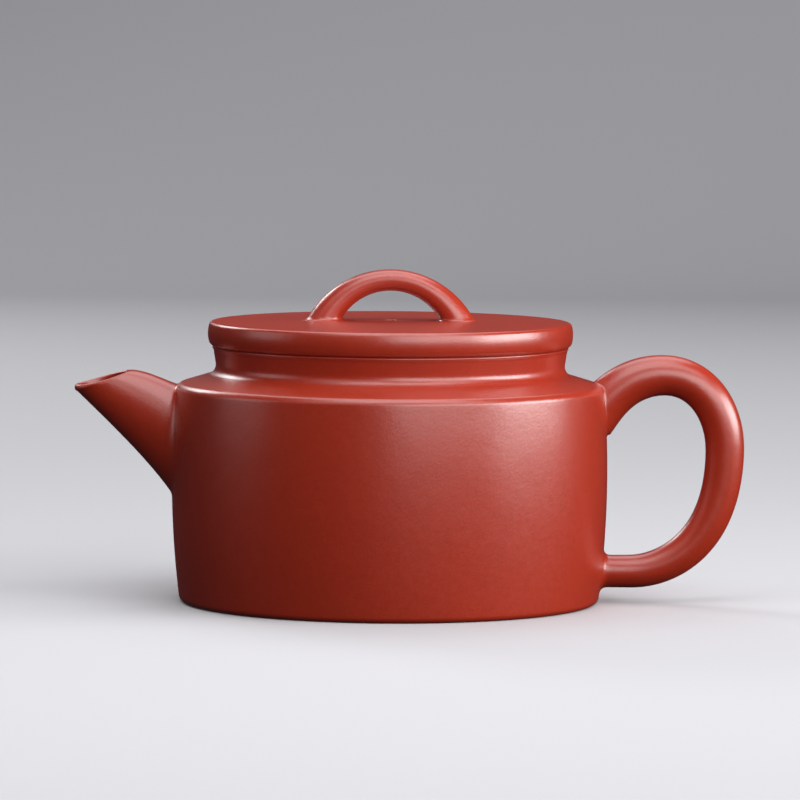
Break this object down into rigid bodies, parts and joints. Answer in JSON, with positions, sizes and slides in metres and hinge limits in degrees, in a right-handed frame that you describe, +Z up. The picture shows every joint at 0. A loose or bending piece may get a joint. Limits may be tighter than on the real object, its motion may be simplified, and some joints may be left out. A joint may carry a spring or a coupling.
{
  "type": "teapot",
  "caption": "Low drum teapot in burnished red clay: short straight spout, round ear handle, waisted neck and a flat lift-off lid with a bridge knob.",
  "frame": {"origin": "on the pot's vertical axis, on the flat face of the base that it stands on", "axes": "+Z up along the axis of the body and the lid; spout towards -X, handle towards +X"},
  "size_m": [0.1419, 0.0922, 0.0704],
  "materials": {
    "clay_pot": "burnished unglazed red clay, satin, with fine slanting burnishing strokes",
    "clay_base": "smoothed unglazed red clay, matt below, satin at its edge",
    "clay_spout": "burnished unglazed red clay, satin",
    "clay_strainer": "unburnished red clay, matt",
    "clay_handle": "burnished unglazed red clay, satin, with strokes along its length",
    "clay_lid": "burnished unglazed red clay, satin, with turning lines round its edge",
    "clay_knob": "burnished unglazed red clay, satin"
  },
  "bodies": {
    "pot": {"base_disc": "clay_base", "body_wall": "clay_pot", "shoulder_plate": "clay_pot", "neck_collar": "clay_pot", "mouth_lip": "clay_pot", "spout": "clay_spout", "strainer_ball": "clay_strainer", "handle": "clay_handle"},
    "lid": {"lid_plate": "clay_lid", "lid_rim_band": "clay_lid", "lid_flange": "clay_lid", "bridge_knob": "clay_knob"}
  },
  "joints": [
    {"name": "lid_lift", "type": "slide", "parent": "pot", "child": "lid", "axis": [0, 0, 1], "range_m": [0, 0.06]}
  ]
}
